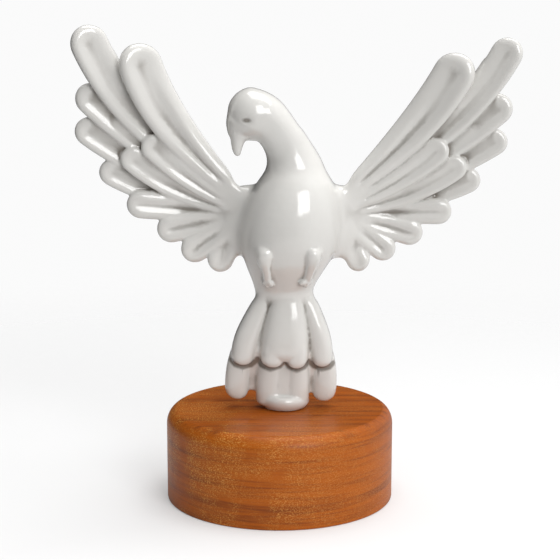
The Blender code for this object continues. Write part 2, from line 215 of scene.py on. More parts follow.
MIDDLE_SCALLOP = [
    (3.0, 42.0, 3.6, 8.6, 4.0),
    (4.2, 34.0, 4.8, 10.2, 4.4),
    (4.8, 28.0, 5.4, 11.2, 4.4),
    (4.9, 24.5, 5.4, 11.4, 4.0),
    (4.9, 22.3, 5.2, 11.3, 3.6),
    (4.9, 21.3, 4.7, 11.2, 3.4),
    (4.9, 20.5, 3.9, 10.9, 3.2),
    (4.9, 19.9, 2.9, 10.5, 2.8),
    (4.9, 19.5, 1.8, 9.9, 2.4),
]
TAIL_DOME = [
    (0.6, 62.0, 2.6, 7.5, 3.0),
    (0.3, 56.0, 4.8, 7.4, 3.4),
    (-0.2, 50.0, 6.9, 8.2, 4.0),
    (-0.3, 44.0, 8.5, 9.6, 4.6),
    (-0.3, 38.0, 9.7, 10.8, 4.8),
    (-0.4, 32.0, 10.5, 11.7, 4.6),
    (-0.4, 28.0, 10.7, 11.9, 4.4),
    (-0.4, 25.4, 10.4, 11.7, 4.2),
    (-0.4, 23.8, 9.2, 11.2, 3.8),
    (-0.4, 22.7, 7.2, 10.4, 3.6),
    (-0.4, 21.9, 4.4, 9.2, 3.2),
]
MIDDLE_LOWER_LOBE = [
    (4.6, 32.0, 4.6, 5.8, 3.8),
    (5.2, 25.0, 5.4, 6.9, 4.4),
    (5.4, 18.0, 5.7, 7.4, 4.8),
    (5.5, 11.0, 5.8, 7.7, 5.0),
    (5.5, 5.0, 5.8, 7.7, 5.0),
    (5.4, 0.0, 5.7, 7.6, 5.0),
]
MIDDLE_LOWER_PANEL = [
    (-0.5, 32.0, 8.6, 4.8, 3.8),
    (-0.5, 25.0, 9.6, 6.2, 4.4),
    (-0.5, 18.0, 10.0, 6.8, 4.8),
    (-0.5, 11.0, 10.1, 7.1, 5.0),
    (-0.5, 5.0, 10.1, 7.1, 5.0),
    (-0.5, 0.0, 10.0, 7.0, 5.0),
]
TAIL_BACKING = [
    (0.0, 48.0, 9.0, 5.0, 3.6),
    (0.0, 38.0, 13.6, 6.4, 3.8),
    (0.0, 28.0, 17.6, 6.6, 3.8),
    (0.0, 23.0, 19.0, 5.6, 3.8),
    (0.0, 17.0, 20.0, 3.2, 3.8),
    (0.0, 9.0, 20.0, 2.2, 3.6),
    (0.0, 6.0, 17.5, 1.8, 3.0),
]

# Foot pad: its middle across and back, its depth by its width, how far its
# root starts below the foot and how wide it is there, and its profile: height
# by the pad's height, and width by its full width.
PAD_MIDDLE = (0.3, 0.2)
PAD_DEPTH = 0.98
PAD_ROOT_DROP = 0.003
PAD_ROOT_WIDTH = 0.70
PAD_PROFILE = [
    (0.0, 0.80),
    (0.2, 0.90),
    (0.45, 0.97),
    (0.75, 1.0),
    (1.0, 0.985),
    (1.18, 0.945),
    (1.30, 0.875),
    (1.36, 0.78),
]

# Where a painted shadow, with pooled glaze, lies under the tail's upper lobes:
# lines across and up, and how far forward the surface lies at most. Then how
# wide a band is, how far it reaches by its width, how sharp its edge is, and how strong it is.
SHADOW_POOLS = [
    ([(-23.4, 20.8), (-21.8, 19.2), (-18.4, 18.2), (-15.0, 19.0), (-13.2, 20.8)], 6.9),
    ([(-12.2, 22.0), (-10.4, 19.8), (-6.4, 18.5), (-2.4, 19.8), (-0.6, 22.4)], 9.6),
    ([(0.2, 22.4), (1.8, 19.8), (5.2, 18.5), (8.4, 19.8), (10.2, 22.0)], 9.6),
    ([(11.2, 21.2), (12.8, 19.7), (16.0, 18.8), (19.4, 19.7), (21.0, 21.2)], 6.9),
]
SHADOW_POOL_WIDTH = 1.5
SHADOW_POOL_REACH = 1.4
SHADOW_POOL_EDGE = 1.1
SHADOW_POOL_STRENGTH = 0.95

# Legs, from the thigh to the foot: across, up, half width, and how proud of
# the trunk its front stands.
LEGS = [
    [
        (-10.9, 74.0, 2.6, 0.4),
        (-10.9, 72.6, 3.6, 2.2),
        (-11.0, 69.8, 3.9, 3.2),
        (-11.0, 66.8, 2.9, 3.2),
        (-10.3, 64.2, 1.8, 2.6),
        (-9.7, 61.4, 1.5, 2.3),
        (-9.3, 59.0, 1.8, 2.4),
        (-9.0, 57.4, 1.3, 1.6),
    ],
    [
        (9.6, 74.6, 2.6, 0.4),
        (9.8, 73.2, 3.6, 2.2),
        (9.9, 70.6, 3.8, 3.4),
        (9.8, 67.4, 3.0, 3.6),
        (9.1, 64.6, 2.1, 3.2),
        (8.5, 62.0, 1.7, 2.8),
        (7.9, 59.6, 2.2, 2.8),
        (7.4, 58.0, 1.6, 1.8),
    ],
]

# Toes: root and tip, across and up, and thickness. Then what each is like on
# its way to the tip: how far along, and how thick there.
TOES = [
    ((-9.6, 59.0), (-11.4, 56.2), 1.1),
    ((-9.2, 58.6), (-9.1, 54.6), 1.1),
    ((-8.8, 59.0), (-6.9, 55.8), 1.1),
    ((7.4, 59.6), (4.4, 57.4), 1.4),
    ((7.8, 59.2), (7.2, 55.6), 1.4),
    ((8.2, 59.6), (10.0, 57.0), 1.4),
]
TOE_SECTIONS = ((0.0, 0.8), (0.35, 1.0), (0.75, 0.95), (1.0, 0.5))
TOE_PROUD = 1.5

# Beak, from inside the face to its tip: across, back, up, radius.
BEAK = [
    (-23.0, -7.0, 125.2, 6.4),
    (-23.6, -7.4, 122.0, 4.8),
    (-24.1, -7.7, 119.6, 3.75),
    (-24.4, -7.9, 117.0, 2.85),
    (-24.5, -8.1, 114.4, 2.2),
    (-24.2, -8.2, 112.4, 1.6),
    (-23.7, -8.2, 111.2, 0.8),
]

# Places that are worked smooth after the forms are joined: two ends of a line
# across and up, and how far around it the smoothing reaches.
SOFT_JOINS = [
    ((-20.8, 97.0), (-21.5, 68.0), 15.0),
    ((20.8, 97.0), (21.5, 68.0), 15.0),
    ((-14.0, 104.0), (-24.0, 99.0), 9.0),
    ((16.0, 105.0), (24.0, 98.5), 9.0),
    ((-12.0, 51.0), (12.0, 51.0), 5.5),
    ((-12.0, 108.0), (13.0, 105.5), 9.0),
    ((-12.0, 126.0), (-5.0, 116.0), 8.0),
    ((-16.0, 141.0), (-5.0, 136.0), 6.0),
    ((-29.0, 123.0), (-18.0, 120.2), 5.0),
    ((-31.0, 130.0), (-31.0, 124.0), 4.5),
    ((-6.0, 134.0), (1.0, 126.0), 6.5),
]

# Eye: middle, half length and half height, how much it slants, and the depth,
# in metres, that parts the near eye from the far one. By its half sizes: how
# far around it the surface is worked, how far out its lid line runs, how wide
# that is, and where its hollow is deepest. The hollow is pressed in several
# times, each time less wide: how wide, and how deep in metres.
EYE_MIDDLE = (-21.1, 127.3)
EYE_HALF = (2.1, 1.3)
EYE_SLANT = 0.12
EYE_PARTING = -0.004
EYE_REACH = 1.8
LID_END = 1.15
LID_WIDTH = 0.30
LID_DEPTH = 0.00010
HOLLOW_PLACE = 0.60
EYE_PRESSES = ((1.1, 0.00012), (0.8, 0.00014), (0.55, 0.00014), (0.36, 0.00016))

# The mouth line, how far around it the surface is made finer and is smoothed,
# and its presses.
MOUTH_LINE = [(-26.8, 122.4), (-25.2, 121.6), (-23.0, 120.8), (-21.2, 120.3), (-19.4, 119.9)]
MOUTH_FINER = 1.9
MOUTH_SMOOTHED = 1.6
MOUTH_PRESSES = ((1.3, 0.00010), (0.9, 0.00012), (0.5, 0.00012))

# What the names of the forms start with until they are joined.
FORM_PREFIX = "form_"

# How deep a hollow is, in metres, where the pooled glaze and the painted shade are full.
CREASE_DEPTH = 0.0005

# How often the soft joins are smoothed, a copy is smoothed to find the
# hollows, and the hollows are evened between neighbours.
SOFT_ROUNDS = 240
HOLLOW_ROUNDS = 60
EVENING_ROUNDS = 4


# Sizes and colours

def number(name, description, default, **more):
    return FloatProperty(name=name, description=description, default=default, **more)


def length(name, description, default):
    return number(name, description, default, min=0.0, precision=4, unit="LENGTH")


def whole_number(name, description, default):
    return IntProperty(name=name, description=description, default=default)


def colour(name, description, default):
    return FloatVectorProperty(
        name=name, description=description, default=default, size=3, min=0.0, max=1.0, subtype="COLOR"
    )


class DoveSizes(bpy.types.PropertyGroup):
    height: length("Height", "From the foot to the tip of a wing, without the lean", 0.168)
    lean: number("Lean", "How far the figure leans to the right", math.radians(2.4), subtype="ANGLE")
    across: length("Across", "How far the foot stands beside the middle of the base", 0.0009)
    glaze_gap: length("Gap", "Gap between the foot and the base", 0.0003)
    wing_root_back: length("Wing root", "How far behind the middle the wings start", 0.0040)
    wing_sweep: length("Wing sweep", "How far forward the wing tips come", 0.0170)
    root_swell: length("Root swell", "How far forward the wings come to meet the body", 0.0060)
    wing_rise: length("Wing rise", "How far the right wing is raised and the left one lowered", 0.00115)
    plumpness: number("Plumpness", "Thickness of a feather by its width", 0.40)
    groove: number("Groove", "Depth of a feather's groove by half its thickness", 0.74)
    ridge: number("Ridge", "Height of a feather's bold bar by half its thickness", 0.24)
    dish: number("Dish", "Depth of a feather's dished front by half its thickness", 0.14)
    head_radius: length("Head radius", "Radius of the head", 0.0112)
    pad_radius: length("Pad radius", "Radius of the foot pad", 0.0114)
    pad_height: length("Pad height", "Height of the foot pad", 0.0046)
    mesh_step: length("Mesh step", "Size of the cells that join the forms", 0.00045)
    smoothing: whole_number("Smoothing", "How often the joined forms are smoothed", 7)
    face_count: whole_number("Faces", "How many triangles the joined forms are reduced to", 138000)


class GlazeFinish(bpy.types.PropertyGroup):
    clear: colour("Glaze", "Colour of the glaze where it lies thin", (0.70, 0.688, 0.66))
    # The pooled colour stands for pooled glaze and for painted shade: in the creases, in the painted
    # shadow under the tail's upper lobes, and round the near eye.
    pooled_glaze_and_shade: colour("Pooled glaze and shade", "Colour of the glaze where it pools in creases", (0.225, 0.205, 0.180))


class PlinthSizes(bpy.types.PropertyGroup):
    edge_inset: length("Edge inset", "How far the rounded top edge comes in", 0.0043)
    edge_drop: length("Edge drop", "How far the rounded top edge comes down", 0.0064)
    foot_break: length("Foot break", "Size of the broken edge at the foot", 0.0009)


class WoodFinish(bpy.types.PropertyGroup):
    warm: colour("Warm wood", "Main colour of the stained wood", (0.41, 0.094, 0.004))
    dark: colour("Dark streaks", "Colour of the dark streaks in the grain", (0.21, 0.047, 0.005))
    fleck: colour("Pores", "Colour of the fine light pores", (0.66, 0.31, 0.07))


class StageSettings(bpy.types.PropertyGroup):
    floor: colour("Floor", "Colour of the plain floor", (0.64, 0.64, 0.64))
    floor_radius: length("Floor radius", "How far the floor reaches", 0.9)
    floor_glow: number("Floor glow", "How much light the floor gives off to the camera", 0.235)
    backdrop: number("Backdrop", "Brightness of the background", 0.962)
    key_power: number("Key light", "Power of the soft key light", 4.2, unit="POWER")
    top_power: number("Top light", "Power of the light overhead", 9.0, unit="POWER")


# Small tools

def deselect_all():
    if bpy.context.object and bpy.context.object.mode != "OBJECT":
        leave_edit()
    bpy.ops.object.select_all(action="DESELECT")


def activate(item):
    deselect_all()
    item.select_set(True)
    bpy.context.view_layer.objects.active = item


def edit(item):
    activate(item)
    bpy.ops.object.mode_set(mode="EDIT")


def edit_all(item):
    edit(item)
    bpy.ops.mesh.select_all(action="SELECT")


def leave_edit():
    bpy.ops.object.mode_set(mode="OBJECT")


def turn(angle, centre):
    """Turn what is selected about Y, by the right hand, about a point. With no
    window the operator turns the other way."""
    value = -angle if bpy.app.background else angle
    bpy.ops.transform.rotate(value=value, orient_axis="Y", center_override=centre)


def places(item):
    """The places of an item's points, as three rows: x, y and z."""
    found = np.empty(len(item.data.vertices) * 3)
    item.data.vertices.foreach_get("co", found)
    return found.reshape(-1, 3).T


def select_where(item, test):
    """Select the points of an item, in edit mode, whose places pass a test."""
    bpy.ops.mesh.select_all(action="DESELECT")
    leave_edit()
    chosen = test(*places(item))
    item.data.vertices.foreach_set("select", chosen)
    bpy.ops.object.mode_set(mode="EDIT")
    return bool(chosen.any())


def apply(item, kind, **settings):
    activate(item)
    modifier = item.modifiers.new(kind.lower(), kind)
    for key, value in settings.items():
        setattr(modifier, key, value)
    bpy.ops.object.modifier_apply(modifier=modifier.name)


def copy_of(item, name):
    copied = item.copy()
    copied.data = item.data.copy()
    copied.name = name
    bpy.context.scene.collection.objects.link(copied)
    return copied


def round_ring(corners, fullness):
    """Start from a filled circle across X and Y. A fullness over 2 swells it
    towards a rounded square."""
    deselect_all()
    bpy.ops.mesh.primitive_circle_add(vertices=corners, radius=1.0, fill_type="NGON", location=(0, 0, 0))
    item = bpy.context.object
    bpy.ops.object.mode_set(mode="EDIT")
    if fullness > 2.0:
        for i in range(1, corners // 4):
            out = math.sin(2.0 * math.pi * i / corners)
            wanted = (1.0 - out ** fullness) ** (1.0 / fullness)
            swell = wanted / math.sqrt(1.0 - out * out)
            select_where(item, lambda x, y, z: abs(abs(x) - out) < 1e-4)
            bpy.ops.transform.resize(value=(1.0, swell, 1.0), center_override=(0, 0, 0))
    bpy.ops.mesh.select_all(action="SELECT")
    return item


def drawn_form(name, stations, corners=32, smooth_levels=1, fullness=2.0):
    """Draw a form out of a flat ring. A station is a centre, a half width, a
    half depth and a tilt about Y; all are in metres and radians."""
    item = round_ring(corners, fullness)
    item.name = FORM_PREFIX + name
    centre, width, depth, tilt = stations[0]
    bpy.ops.transform.resize(value=(width, depth, 1.0), center_override=(0, 0, 0))
    if tilt:
        turn(tilt, (0, 0, 0))
    bpy.ops.transform.translate(value=centre)
    for new_centre, new_width, new_depth, new_tilt in stations[1:]:
        step = Vector(new_centre) - Vector(centre)
        bpy.ops.mesh.extrude_region_move(TRANSFORM_OT_translate={"value": step})
        if tilt:
            turn(-tilt, new_centre)
        bpy.ops.transform.resize(
            value=(new_width / width, new_depth / depth, 1.0), center_override=new_centre
        )
        if new_tilt:
            turn(new_tilt, new_centre)
        centre, width, depth, tilt = new_centre, new_width, new_depth, new_tilt
    bpy.ops.mesh.select_all(action="SELECT")
    bpy.ops.mesh.normals_make_consistent(inside=False)
    leave_edit()
    if smooth_levels:
        apply(item, "SUBSURF", levels=smooth_levels, render_levels=smooth_levels)
    return item


def ball_form(name, centre, radii, tilt=0.0):
    """Start from a ball, stretch it along three directions and tilt it."""
    deselect_all()
    bpy.ops.mesh.primitive_ico_sphere_add(subdivisions=4, radius=1.0, location=(0, 0, 0))
    item = bpy.context.object
    item.name = FORM_PREFIX + name
    bpy.ops.object.mode_set(mode="EDIT")
    bpy.ops.mesh.select_all(action="SELECT")
    bpy.ops.transform.resize(value=radii, center_override=(0, 0, 0))
    if tilt:
        turn(tilt, (0, 0, 0))
    bpy.ops.transform.translate(value=centre)
    leave_edit()
    return item


def smoothstep(low, high, value):
    t = min(max((value - low) / (high - low), 0.0), 1.0)
    return t * t * (3.0 - 2.0 * t)


# Wings

# How wide a feather is at its root, by its full width, and how far around
# their point the wings swell forwards to meet the body.
ROOT_PART = 0.30
ROOT_SWELL_REACH = 26.0

# Points around the master feather, steps along its shaft, and the degrees that
# the rings of its round tip lie at.
FEATHER_CORNERS = 48
FEATHER_STEPS = 12
TIP_DEGREES = (14, 28, 42, 55, 67, 78, 86)

# A long feather's groove: its place across, its width, how much it widens and
# how much it fades towards the tip. Then its bold bar.
GROOVE_PLACE = -0.08
GROOVE_WIDTH = 0.16
GROOVE_OPENING = 0.30
GROOVE_FADE = 0.50
RIDGE_PLACE = 0.42
RIDGE_WIDTH = 0.34

# A short feather's groove: its place across, its width, and its depth by a
# long one's. Then its bars: the place and height of each, and their width.
SHORT_GROOVE_PLACE = -0.04
SHORT_GROOVE_WIDTH = 0.30
SHORT_GROOVE_DEPTH = 0.38
SHORT_BARS = ((0.50, 1.0), (-0.52, 0.7))
SHORT_BAR_WIDTH = 0.26

# The dished front is deepest up to the first of these places and ends at the
# second, on the way from the middle to the rim.
DISH_RIM = (0.40, 0.86)


def wing_depth(sizes, across, up):
    """How far behind the middle of the dove the wing lies at a place."""
    away = math.hypot(across - FAN_POINT[0], up - FAN_POINT[1])
    swell = sizes.root_swell * (1.0 - smoothstep(0.0, ROOT_SWELL_REACH, away))
    return sizes.wing_root_back - sizes.wing_sweep * (away / WING_REACH) ** WING_CURVE - swell


def feather_half_width(s):
    """Half width of the master feather's shaft, from its root to its shoulder."""
    return 0.5 * (ROOT_PART + (1.0 - ROOT_PART) * math.sin(0.5 * math.pi * s))


def mound(out, place, width):
    """A smooth rise to 1 around a place across a feather."""
    return math.exp(-((out - place) / width) ** 2)


def front_relief(sizes, short, s, x, out):
    """How deep a feather's front is pressed in, at a place along and across
    it. A long feather has one groove that opens towards its tip; a short one
    has a shallow groove between two bars."""
    root_fade = smoothstep(0.0, 0.2, s)
    tip_fade = 1.0 - smoothstep(0.0, 0.36, x)
    if short:
        along = smoothstep(0.25, 0.6, s) * tip_fade
        dip = mound(out, SHORT_GROOVE_PLACE, SHORT_GROOVE_WIDTH) * SHORT_GROOVE_DEPTH * sizes.groove
        rise = sum(mound(out, place, SHORT_BAR_WIDTH) * height for place, height in SHORT_BARS)
        return (dip - rise * sizes.ridge) * along
    opened = smoothstep(0.35, 0.85, s)
    dip = mound(out, GROOVE_PLACE, GROOVE_WIDTH + GROOVE_OPENING * opened)
    dip *= sizes.groove * root_fade * (1.0 - GROOVE_FADE * opened) * tip_fade
    rise = mound(out, RIDGE_PLACE, RIDGE_WIDTH) * sizes.ridge
    return dip - rise * root_fade * (1.0 - smoothstep(0.7, 1.0, s))


def shape_front(item, sizes, rows, short):
    """Dish and groove the front of a feather, point by point on each ring."""
    edit(item)
    for s, x, half, depth in rows[1:]:
        for k in range(-FEATHER_CORNERS // 4 + 1, FEATHER_CORNERS // 4):
            out = math.sin(2.0 * math.pi * k / FEATHER_CORNERS)
            from_middle = math.hypot(max(x, 0.0) / 0.5, out * half / max(half, feather_half_width(s)))
            dish = (1.0 - smoothstep(*DISH_RIM, from_middle)) * smoothstep(0.2, 0.6, s) * sizes.dish
            relief = front_relief(sizes, short, s, x, out)
            push = (dish + relief) * max(half, 0.25) * sizes.plumpness
            if abs(push) < 1e-4:
                continue
            select_where(item, lambda px, py, pz: (
                (abs(px - x) < 0.002) & (py < 0.0) & (abs(pz - out * half) < 2e-4)
            ))
            bpy.ops.transform.translate(value=(0.0, push, 0.0))
    leave_edit()


def master_feather(sizes, grooved, short=False):
    """One feather of width 1 that points along +X with its front towards -Y:
    a shaft 1 long that fills out from its root, and a round tip. Unless it is
    plain, its front is dished inside a raised rim, and grooved."""
    rows = []
    for i in range(FEATHER_STEPS + 1):
        s = i / FEATHER_STEPS
        half = feather_half_width(s)
        rows.append((s, s - 1.0, half, half * sizes.plumpness))
    for degrees in TIP_DEGREES:
        turned = math.radians(degrees)
        depth = 0.5 * sizes.plumpness * math.cos(turned) ** 0.8
        rows.append((1.0, 0.5 * math.sin(turned), 0.5 * math.cos(turned), depth))
    stations = [((x, 0.0, 0.0), half, depth, 0.5 * math.pi) for s, x, half, depth in rows]
    item = drawn_form("master feather", stations, FEATHER_CORNERS, smooth_levels=0, fullness=2.6)
    if grooved:
        shape_front(item, sizes, rows, short)
    apply(item, "SUBSURF", levels=1, render_levels=1)
    return item


def spine_of(sizes, side, root, bend, tip, behind):
    """The curve that a feather follows, and its length."""
    share = sizes.height / FIGURE_SHARES

    def place(t):
        x = root[0] * (1 - t) ** 2 + bend[0] * 2 * t * (1 - t) + tip[0] * t * t
        z = root[1] * (1 - t) ** 2 + bend[1] * 2 * t * (1 - t) + tip[1] * t * t
        y = wing_depth(sizes, x, z) + share * behind * smoothstep(0.0, 0.45, t)
        return Vector((side * share * x, y, share * z + side * sizes.wing_rise))

    start, first_third, second_third, end = (place(t) for t in (0.0, 1 / 3, 2 / 3, 1.0))
    handle_a = (-5 * start + 18 * first_third - 9 * second_third + 2 * end) / 6
    handle_b = (2 * start - 9 * first_third + 18 * second_third - 5 * end) / 6
    deselect_all()
    bpy.ops.curve.primitive_bezier_curve_add(location=(0, 0, 0))
    item = bpy.context.object
    item.data.twist_mode = "Z_UP"
    item.data.resolution_u = 24
    item.data.use_stretch = True
    item.data.use_deform_bounds = True
    low, high = item.data.splines[0].bezier_points
    for point in (low, high):
        point.handle_left_type = "FREE"
        point.handle_right_type = "FREE"
    low.co = start
    low.handle_left = start * 2 - handle_a
    low.handle_right = handle_a
    high.co = end
    high.handle_left = handle_b
    high.handle_right = end * 2 - handle_b
    steps = 40
    run = sum((place((i + 1) / steps) - place(i / steps)).length for i in range(steps))
    return item, run


def feather(sizes, master, side, name, root, bend, tip, width, behind):
    """Copy the master feather, size it, and lay it along its spine."""
    spine, run = spine_of(sizes, side, root, bend, tip, behind)
    item = copy_of(master, f"{FORM_PREFIX}{name} {'right' if side > 0 else 'left'}")
    broad = width * sizes.height / FIGURE_SHARES
    edit_all(item)
    bpy.ops.transform.resize(value=(broad, side * broad, broad), center_override=(0, 0, 0))
    select_where(item, lambda x, y, z: x < -1e-6)
    bpy.ops.transform.resize(value=((run - 0.5 * broad) / broad, 1.0, 1.0), center_override=(0, 0, 0))
    leave_edit()
    apply(item, "CURVE", object=spine, deform_axis="POS_X")
    bpy.data.objects.remove(spine, do_unlink=True)
    return item


def wing_ball(name, side, ball, share, shift=0.0, rise=0.0):
    """A ball that fills one wing where it meets the body."""
    (across, back, up), radii, tilt = ball
    centre = Vector((side * across + shift, back, up + rise * side)) * share
    ball_form(f"{name} {side}", centre, Vector(radii) * share, tilt=side * tilt)


class DOVE_OT_wings(bpy.types.Operator):
    """Model both wings from copies of three feathers: long, short and plain"""

    bl_idname = "dove.wings"
    bl_label = "Model the wings"

    def execute(self, context):
        sizes = context.scene.dove_sizes
        share = sizes.height / FIGURE_SHARES
        grooved = master_feather(sizes, grooved=True)
        short = master_feather(sizes, grooved=True, short=True)
        plain = master_feather(sizes, grooved=False)
        for side in (-1, 1):
            for name, (root, bend, tip, width, behind) in FEATHERS.items():
                change = RIGHT_WING.get(name) if side > 0 else None
                out, up, bend_out, bend_up, wider = change or (0.0, 0.0, 0.0, 0.0, 1.0)
                tip = (tip[0] + out, tip[1] + up)
                bend = (bend[0] + bend_out, bend[1] + bend_up)
                master = short if name in SHORT_FEATHERS else grooved
                feather(sizes, master, side, name, root, bend, tip, width * wider, behind)
            for name, (root, bend, tip, width, behind) in BACKING_FEATHERS.items():
                feather(sizes, plain, side, name, root, bend, tip, width, behind)
            wing_ball("wing root", side, WING_ROOT, share)
            wing_ball("shoulder", side, SHOULDER, share, shift=SHOULDER_SHIFT, rise=SHOULDER_RISE)
        for master in (grooved, short, plain):
            bpy.data.objects.remove(master, do_unlink=True)
        return {"FINISHED"}


# Body

def trunk_front(across, up):
    """How far forward the trunk's front lies at a place, in shares."""
    for low, high in zip(TRUNK[:-1], TRUNK[1:]):
        if low[0] <= up <= high[0]:
            f = (up - low[0]) / (high[0] - low[0])
            middle, half, front = (low[i] + (high[i] - low[i]) * f for i in (1, 2, 3))
            return front * math.sqrt(max(1.0 - ((across - middle) / half) ** 2, 0.0))
    return 0.0


def tube_stations(points, share, flat=1.0):
    """Stations square to a path of (across, back, up, radius) points."""
    stations = []
    for i, (x, y, z, radius) in enumerate(points):
        before = points[max(i - 1, 0)]
        after = points[min(i + 1, len(points) - 1)]
        tilt = math.atan2(after[0] - before[0], after[2] - before[2])
        stations.append((Vector((x, y, z)) * share, radius * share, radius * flat * share, tilt))
    return stations


class DOVE_OT_body(bpy.types.Operator):
    """Model the trunk, neck, head, beak and legs"""

    bl_idname = "dove.body"
    bl_label = "Model the body"

    def execute(self, context):
        sizes = context.scene.dove_sizes
        share = sizes.height / FIGURE_SHARES
        stations = []
        for up, middle, half, front, back in TRUNK:
            centre = Vector((middle, 0.5 * (back - front), up)) * share
            stations.append((centre, half * share, 0.5 * (front + back) * share, 0.0))
        drawn_form("trunk", stations, corners=48)
        drawn_form("neck", tube_stations(NECK, share), corners=40)
        radii = Vector(HEAD_ROUNDNESS) * sizes.head_radius
        ball_form("head", Vector(HEAD_MIDDLE) * share, radii)
        middle, radii, tilt = FACE
        ball_form("face", Vector(middle) * share, Vector(radii) * share, tilt=tilt)
        drawn_form("beak", tube_stations(BEAK, share, flat=0.9), corners=24)
        for i, rows in enumerate(LEGS):
            stations = []
            for across, up, half, proud in rows:
                front = trunk_front(across, up) + proud
                centre = Vector((across, -front + half, up)) * share
                stations.append((centre, half * share, half * share, 0.0))
            drawn_form(f"leg {i}", stations, corners=24, fullness=2.6)
        for i, (root, tip, thick) in enumerate(TOES):
            points = []
            for t, part in TOE_SECTIONS:
                across = root[0] + (tip[0] - root[0]) * t
                up = root[1] + (tip[1] - root[1]) * t
                points.append((across, -trunk_front(across, up) - TOE_PROUD, up, thick * part))
            drawn_form(f"toe {i}", tube_stations(points, share), corners=12)
        return {"FINISHED"}


# Tail

def lobe(name, points, share, mirror=1, middle=0.0, corners=32, fullness=2.5, raised=0.0, wider=1.0):
    """One hanging lobe of the tail."""
    stations = []
    for across, up, half, front, back in points:
        centre = Vector((middle + mirror * across * wider, 0.5 * (back - front), up + raised)) * share
        stations.append((centre, half * wider * share, 0.5 * (front + back) * share, 0.0))
    return drawn_form(name, stations, corners=corners, fullness=fullness)


class DOVE_OT_tail(bpy.types.Operator):
    """Model the fanned tail and the pad it stands on"""

    bl_idname = "dove.tail"
    bl_label = "Model the tail"

    def execute(self, context):
        sizes = context.scene.dove_sizes
        share = sizes.height / FIGURE_SHARES
        for mirror, (upper_middle, upper_width, lower_middle, raised, wider) in TAIL_SIDES.items():
            lobe(
                f"outer upper {mirror}", OUTER_UPPER_LOBE, share, mirror, upper_middle,
                raised=raised, wider=upper_width,
            )
            lobe(f"outer lower {mirror}", OUTER_LOWER_LOBE, share, mirror, lower_middle, raised=raised)
            lobe(f"middle scallop {mirror}", MIDDLE_SCALLOP, share, mirror, fullness=2.8, wider=wider)
            lobe(f"middle lower {mirror}", MIDDLE_LOWER_LOBE, share, mirror, fullness=2.4, wider=wider)
        lobe("tail dome", TAIL_DOME, share, corners=40, fullness=2.8)
        lobe("middle panel", MIDDLE_LOWER_PANEL, share, corners=48, fullness=4.0)
        lobe("tail backing", TAIL_BACKING, share, middle=TAIL_BACKING_MIDDLE, corners=48, fullness=3.0)
        profile = [(-PAD_ROOT_DROP, PAD_ROOT_WIDTH)]
        profile += [(up * sizes.pad_height, part) for up, part in PAD_PROFILE]
        across, back = PAD_MIDDLE
        stations = []
        for up, part in profile:
            centre = Vector((across * share, back * share, up))
            stations.append((centre, sizes.pad_radius * part, sizes.pad_radius * part * PAD_DEPTH, 0.0))
        drawn_form("foot pad", stations, corners=48)
        return {"FINISHED"}


# One casting

# The soft joins are smoothed in this many grades of strength, and in full over
# a small core.
SOFT_GRADES = 50
SOFT_CORE = 1.15


def soften_joins(item, share):
    """Smooth where the forms run into each other, most at the middle of each
    join and less and less around it."""
    x, y, z = places(item) / share
    weights = np.zeros(len(x))
    for low, high, reach in SOFT_JOINS:
        away = line_distance(x, z, [low, high])[0] / reach
        weights = np.maximum(weights, np.clip(SOFT_CORE * (1.0 - away), 0.0, 1.0) ** 3)
    group = item.vertex_groups.new(name="soft joins")
    grades = np.round(weights * SOFT_GRADES).astype(int)
    for grade in range(1, SOFT_GRADES + 1):
        group.add(np.nonzero(grades == grade)[0].tolist(), grade / SOFT_GRADES, "REPLACE")
    apply(item, "SMOOTH", factor=1.0, iterations=SOFT_ROUNDS, vertex_group=group.name)
    item.vertex_groups.clear()


def refine(item, test, cuts):
    """Divide the faces whose points all pass a test of place."""
    edit(item)
    select_where(item, test)
    bpy.ops.mesh.subdivide(number_cuts=cuts, smoothness=0.0)


def press(item, depth, test):
    """Press the points that pass a test of place inwards."""
    if select_where(item, test):
        bpy.ops.transform.shrink_fatten(value=-depth)


def line_distance(across, up, line):
    """Distances to a line of (across, up) points, and how far along it."""
    away = np.full(len(across), 1e9)
    along = np.zeros(len(across))
    for i, (low, high) in enumerate(zip(line[:-1], line[1:])):
        run = (high[0] - low[0], high[1] - low[1])
        t = ((across - low[0]) * run[0] + (up - low[1]) * run[1]) / (run[0] ** 2 + run[1] ** 2)
        t = np.clip(t, 0.0, 1.0)
        gap = np.hypot(across - low[0] - run[0] * t, up - low[1] - run[1] * t)
        along = np.where(gap < away, (i + t) / (len(line) - 1), along)
        away = np.minimum(away, gap)
    return away, along


def cut_eye(item, share, front):
    """Cut one eye: a fine lid line round an almond, deepest at its back."""
    def almond(x, y, z):
        u = (x / share - EYE_MIDDLE[0]) / EYE_HALF[0]
        v = (z / share - EYE_MIDDLE[1] + EYE_SLANT * u) / EYE_HALF[1]
        return u, v, (y < EYE_PARTING) == front

    def near(x, y, z):
        u, v, this_side = almond(x, y, z)
        return this_side & (np.hypot(u, v) < EYE_REACH)

    def on_lid(width):
        def test(x, y, z):
            u, v, this_side = almond(x, y, z)
            lid = np.maximum(1.0 - u * u, 0.0)
            return this_side & (abs(u) < LID_END) & (abs(abs(v) - lid) < width)
        return test

    def in_corner(width):
        def test(x, y, z):
            u, v, this_side = almond(x, y, z)
            return this_side & (np.hypot(u - HOLLOW_PLACE, v * 0.7) < width)
        return test

    refine(item, near, 3)
    press(item, LID_DEPTH, on_lid(LID_WIDTH))
    for width, depth in EYE_PRESSES:
        press(item, depth, in_corner(width))
    select_where(item, near)
    bpy.ops.mesh.vertices_smooth(factor=0.5, repeat=6)


